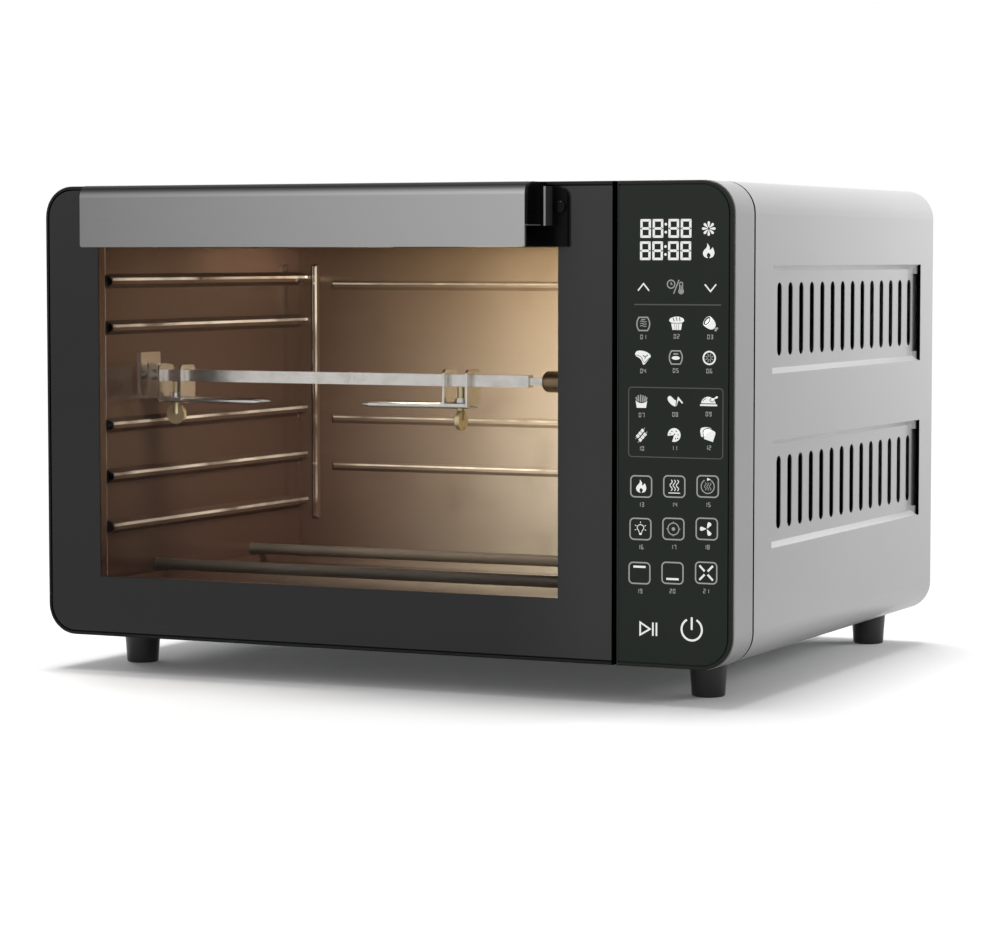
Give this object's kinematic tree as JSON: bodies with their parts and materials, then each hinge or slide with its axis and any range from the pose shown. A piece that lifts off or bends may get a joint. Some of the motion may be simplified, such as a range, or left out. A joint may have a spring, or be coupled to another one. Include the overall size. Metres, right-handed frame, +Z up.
{
  "type": "toaster oven",
  "caption": "Countertop toaster oven with a drop-down glass door, bar handle, side touch panel, slotted side vents and a rotisserie spit in the cavity.",
  "frame": {"origin": "on the table under the middle of the whole oven, handle included", "axes": "+X to the oven's right seen from the front, +Y to its rear, +Z up"},
  "size_m": [0.5, 0.427, 0.328],
  "materials": {
    "body_paint": "satin light silver paint",
    "dark_plastic": "satin near black",
    "door_pane": "clear glass with a dark printed border",
    "clear_pane": "clear glass",
    "touch_pane": "dark back-printed glass",
    "handle_metal": "brushed grey",
    "bracket_plastic": "gloss black",
    "fastener_steel": "plain steel",
    "foot_rubber": "black rubber",
    "cavity_steel": "bright steel, warmed by use",
    "plain_sheet": "galvanised sheet",
    "heater_steel": "oxidised sheath",
    "ceramic_white": "glazed ceramic",
    "spit_chrome": "bright plated steel",
    "brass_fitting": "machined brass",
    "fan_aluminium": "stamped aluminium",
    "motor_case": "grey case",
    "board_laminate": "circuit board",
    "display_plastic": "dark display block",
    "gland_rubber": "black bushing"
  },
  "bodies": {
    "oven": {"outer_wrap": "body_paint", "right_vent_upper": "body_paint", "right_vent_lower": "body_paint", "left_vent_upper": "body_paint", "left_vent_lower": "body_paint", "front_frame": "body_paint", "control_fascia": "dark_plastic", "lamp_lens": "clear_pane", "lamp_bulb": "clear_pane", "touch_glass": "touch_pane", "rear_screws": "fastener_steel", "foot_screws": "fastener_steel", "hinge_bracket_left": "fastener_steel", "hinge_bracket_right": "fastener_steel", "feet": "foot_rubber", "cavity_left_wall": "cavity_steel", "cavity_right_wall": "cavity_steel", "cavity_roof": "cavity_steel", "cavity_floor": "cavity_steel", "cavity_back": "cavity_steel", "fan_cover": "cavity_steel", "fan_housing": "cavity_steel", "crumb_tray": "cavity_steel", "base_plate": "plain_sheet", "rear_panel": "plain_sheet", "support_rails": "plain_sheet", "top_heaters": "heater_steel", "bottom_heaters": "heater_steel", "ring_heater": "heater_steel", "temperature_probe": "heater_steel", "heater_insulators": "ceramic_white", "lamp_socket": "ceramic_white", "thermal_cutout": "ceramic_white", "spit_support": "spit_chrome", "fan_motor": "motor_case", "rotisserie_motor": "motor_case", "control_board": "board_laminate", "power_board": "board_laminate", "display_module": "display_plastic", "cord_gland": "gland_rubber"},
    "door": {"door_frame": "dark_plastic", "door_glass": "door_pane", "door_liner": "cavity_steel", "door_inner_glass": "clear_pane", "hinge_pins": "fastener_steel", "handle_bar": "handle_metal", "handle_bracket_left": "bracket_plastic", "handle_bracket_right": "bracket_plastic", "handle_screws": "fastener_steel"},
    "spit": {"spit": "spit_chrome", "drive_socket": "brass_fitting"},
    "left_fork": {"spit_fork_left": "spit_chrome"},
    "left_thumbscrew": {"thumbscrew_left": "brass_fitting"},
    "right_fork": {"spit_fork_right": "spit_chrome"},
    "right_thumbscrew": {"thumbscrew_right": "brass_fitting"},
    "fan": {"convection_fan": "fan_aluminium", "fan_shaft": "fastener_steel", "cooling_fan": "fan_aluminium"}
  },
  "joints": [
    {"name": "door_hinge", "type": "hinge", "parent": "oven", "child": "door", "pos_m": [0, -0.175, 0.042], "axis": [1, 0, 0], "range_deg": [0, 90], "stiffness_Nm_per_rad": 1.5, "springref_deg": -20.05},
    {"name": "spit_spin", "type": "hinge", "parent": "oven", "child": "spit", "pos_m": [0, -0.0955, 0.198], "axis": [1, 0, 0], "continuous": true},
    {"name": "left_fork_slide", "type": "slide", "parent": "spit", "child": "left_fork", "axis": [1, 0, 0], "range_m": [0, 0.06]},
    {"name": "right_fork_slide", "type": "slide", "parent": "spit", "child": "right_fork", "axis": [1, 0, 0], "range_m": [-0.04, 0.035]},
    {"name": "left_thumbscrew_turn", "type": "hinge", "parent": "left_fork", "child": "left_thumbscrew", "pos_m": [-0.2017, -0.0955, 0.18], "axis": [0, 0, 1], "continuous": true},
    {"name": "right_thumbscrew_turn", "type": "hinge", "parent": "right_fork", "child": "right_thumbscrew", "pos_m": [0.0196, -0.0955, 0.18], "axis": [0, 0, 1], "continuous": true},
    {"name": "fan_spin", "type": "hinge", "parent": "oven", "child": "fan", "pos_m": [0.18, 0.0295, 0.178], "axis": [1, 0, 0], "continuous": true}
  ]
}
